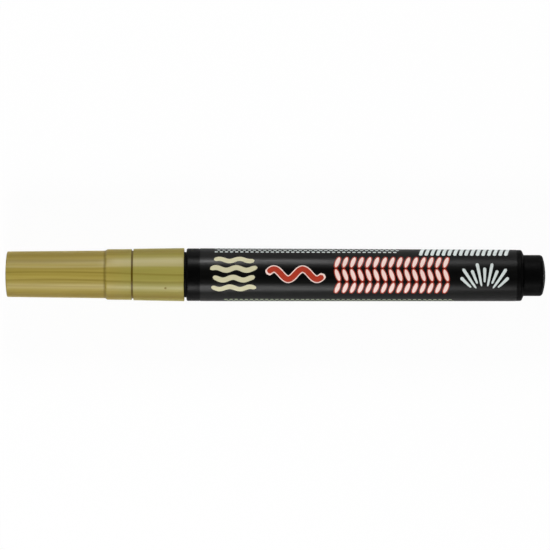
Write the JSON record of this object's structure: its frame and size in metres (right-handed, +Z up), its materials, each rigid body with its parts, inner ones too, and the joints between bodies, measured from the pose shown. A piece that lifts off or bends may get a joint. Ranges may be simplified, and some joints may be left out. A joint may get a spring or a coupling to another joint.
{
  "type": "liquid chalk marker",
  "caption": "Capped round liquid chalk marker lying on its side, with a pull-off cap, a sprung nib that opens an ink valve, and a mixing ball loose in the barrel.",
  "frame": {"origin": "under the middle of the marker's length and axis, on the surface that it lies on", "axes": "+X along the marker's axis from the cap's closed end to the tail; +Z up, away from the surface; the label's printed front faces +Z"},
  "size_m": [0.138, 0.0136, 0.0136],
  "materials": {
    "gold_plastic": "pearlescent gold, moulded",
    "white_plastic": "natural white, moulded",
    "cream_plastic": "pale cream, moulded",
    "black_plastic": "black, moulded, glossy",
    "label_film": "black printed film",
    "plated_metal": "nickel plate",
    "nib_fibre": "bonded fibre stained by pale gold ink",
    "spring_steel": "drawn wire",
    "ball_steel": "polished"
  },
  "bodies": {
    "barrel": {"barrel": "black_plastic", "label": "label_film", "tail_plug": "black_plastic", "front_section": "cream_plastic", "ferrule": "plated_metal", "valve_body": "white_plastic", "valve_retainer": "white_plastic", "valve_spring": "spring_steel"},
    "cap": {"cap_shell": "gold_plastic", "cap_liner": "white_plastic"},
    "nib": {"nib": "nib_fibre", "valve_plunger": "white_plastic"},
    "mixing_ball": {"mixing_ball": "ball_steel"}
  },
  "joints": [
    {"name": "cap_pull", "type": "slide", "parent": "barrel", "child": "cap", "axis": [-1, 0, 0], "range_m": [0, 0.045]},
    {"name": "nib_press", "type": "slide", "parent": "barrel", "child": "nib", "axis": [1, 0, 0], "range_m": [0, 0.0012], "stiffness_N_per_m": 500, "springref_m": -0.001, "deforming": ["valve_spring"]},
    {"name": "ball_roll", "type": "slide", "parent": "barrel", "child": "mixing_ball", "axis": [1, 0, 0], "range_m": [-0.0355, 0.036]}
  ]
}
